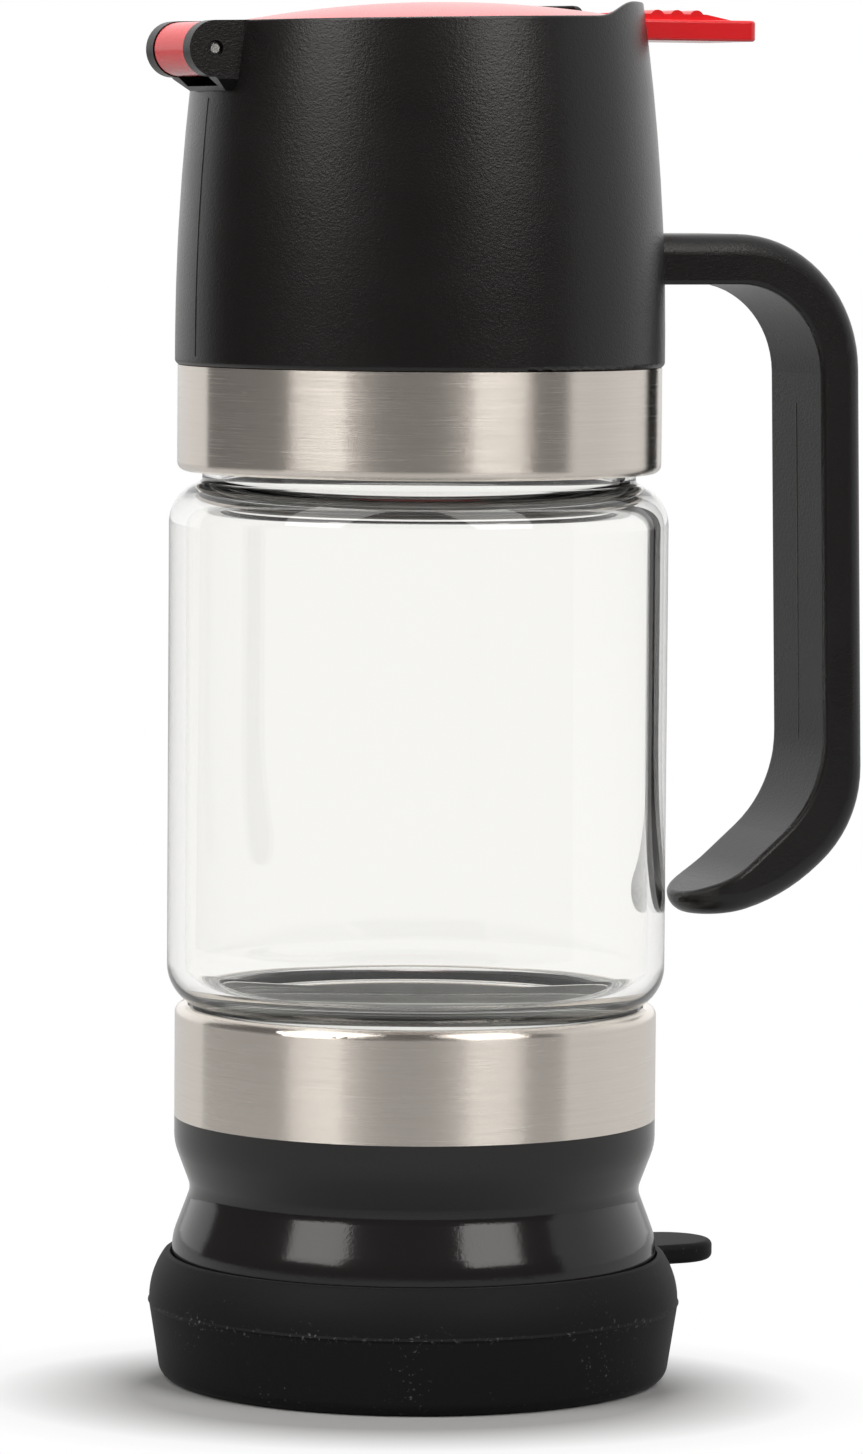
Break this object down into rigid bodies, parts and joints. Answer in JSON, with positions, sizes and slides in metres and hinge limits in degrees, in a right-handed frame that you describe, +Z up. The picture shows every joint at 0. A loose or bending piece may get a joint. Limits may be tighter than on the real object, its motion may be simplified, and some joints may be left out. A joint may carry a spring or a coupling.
{
  "type": "syrup dispenser",
  "caption": "Bottom-pouring syrup dispenser: clear glass body between steel bands, tall black head with open handle, hinged red thumb lid, waisted base and soft boot.",
  "frame": {"origin": "centre of the boot's flat underside, where the dispenser stands", "axes": "+Z up along the glass body's axis; +X towards the handle and the lid's thumb lever; the lid's hinge is at -X; the XZ plane is the plane of symmetry"},
  "size_m": [0.1099, 0.0776, 0.2],
  "materials": {
    "silicone_boot": "matt silicone",
    "base_shell": "semi-gloss moulded",
    "base_liner": "satin moulded",
    "outlet_nozzle": "matt silicone",
    "lower_band": "fine horizontal brush",
    "lower_gasket": "matt silicone",
    "glass_body": "clear, polished",
    "upper_gasket": "matt silicone",
    "collar_liner": "satin moulded",
    "upper_band": "fine horizontal brush",
    "collar": "satin, very fine texture",
    "hinge_pin": "ground steel",
    "lid": "satin gloss moulded",
    "lid_seal": "matt silicone"
  },
  "bodies": {
    "boot": {"silicone_boot": "silicone_boot"},
    "base": {"base_shell": "base_shell", "base_liner": "base_liner", "outlet_nozzle": "outlet_nozzle", "lower_band": "lower_band"},
    "lower_seal": {"lower_gasket": "lower_gasket"},
    "reservoir": {"glass_body": "glass_body"},
    "upper_seal": {"upper_gasket": "upper_gasket"},
    "head": {"collar": "collar", "collar_liner": "collar_liner", "upper_band": "upper_band", "hinge_pin": "hinge_pin"},
    "flap": {"lid": "lid", "lid_seal": "lid_seal"}
  },
  "joints": [
    {"name": "boot_pull", "type": "slide", "parent": "boot", "child": "base", "axis": [0, 0, 1], "range_m": [0, 0.04]},
    {"name": "glass_rise", "type": "slide", "parent": "base", "child": "lower_seal", "axis": [0, 0, 1], "range_m": [0, 0.008]},
    {"name": "glass_turn", "type": "hinge", "parent": "lower_seal", "child": "reservoir", "pos_m": [0, 0, 0.041], "axis": [0, 0, 1], "range_deg": [0, 720]},
    {"name": "head_rise", "type": "slide", "parent": "reservoir", "child": "upper_seal", "axis": [0, 0, 1], "range_m": [0, 0.008]},
    {"name": "head_turn", "type": "hinge", "parent": "upper_seal", "child": "head", "pos_m": [0, 0, 0.1456], "axis": [0, 0, 1], "range_deg": [0, 720]},
    {"name": "lid_hinge", "type": "hinge", "parent": "head", "child": "flap", "pos_m": [-0.0359, 0, 0.19263], "axis": [0, -1, 0], "range_deg": [0, 105]}
  ],
  "couplings": [
    {"joint": "glass_rise", "follows": "glass_turn", "m_per_rad": 0.0006366},
    {"joint": "head_rise", "follows": "head_turn", "m_per_rad": 0.0006366}
  ]
}
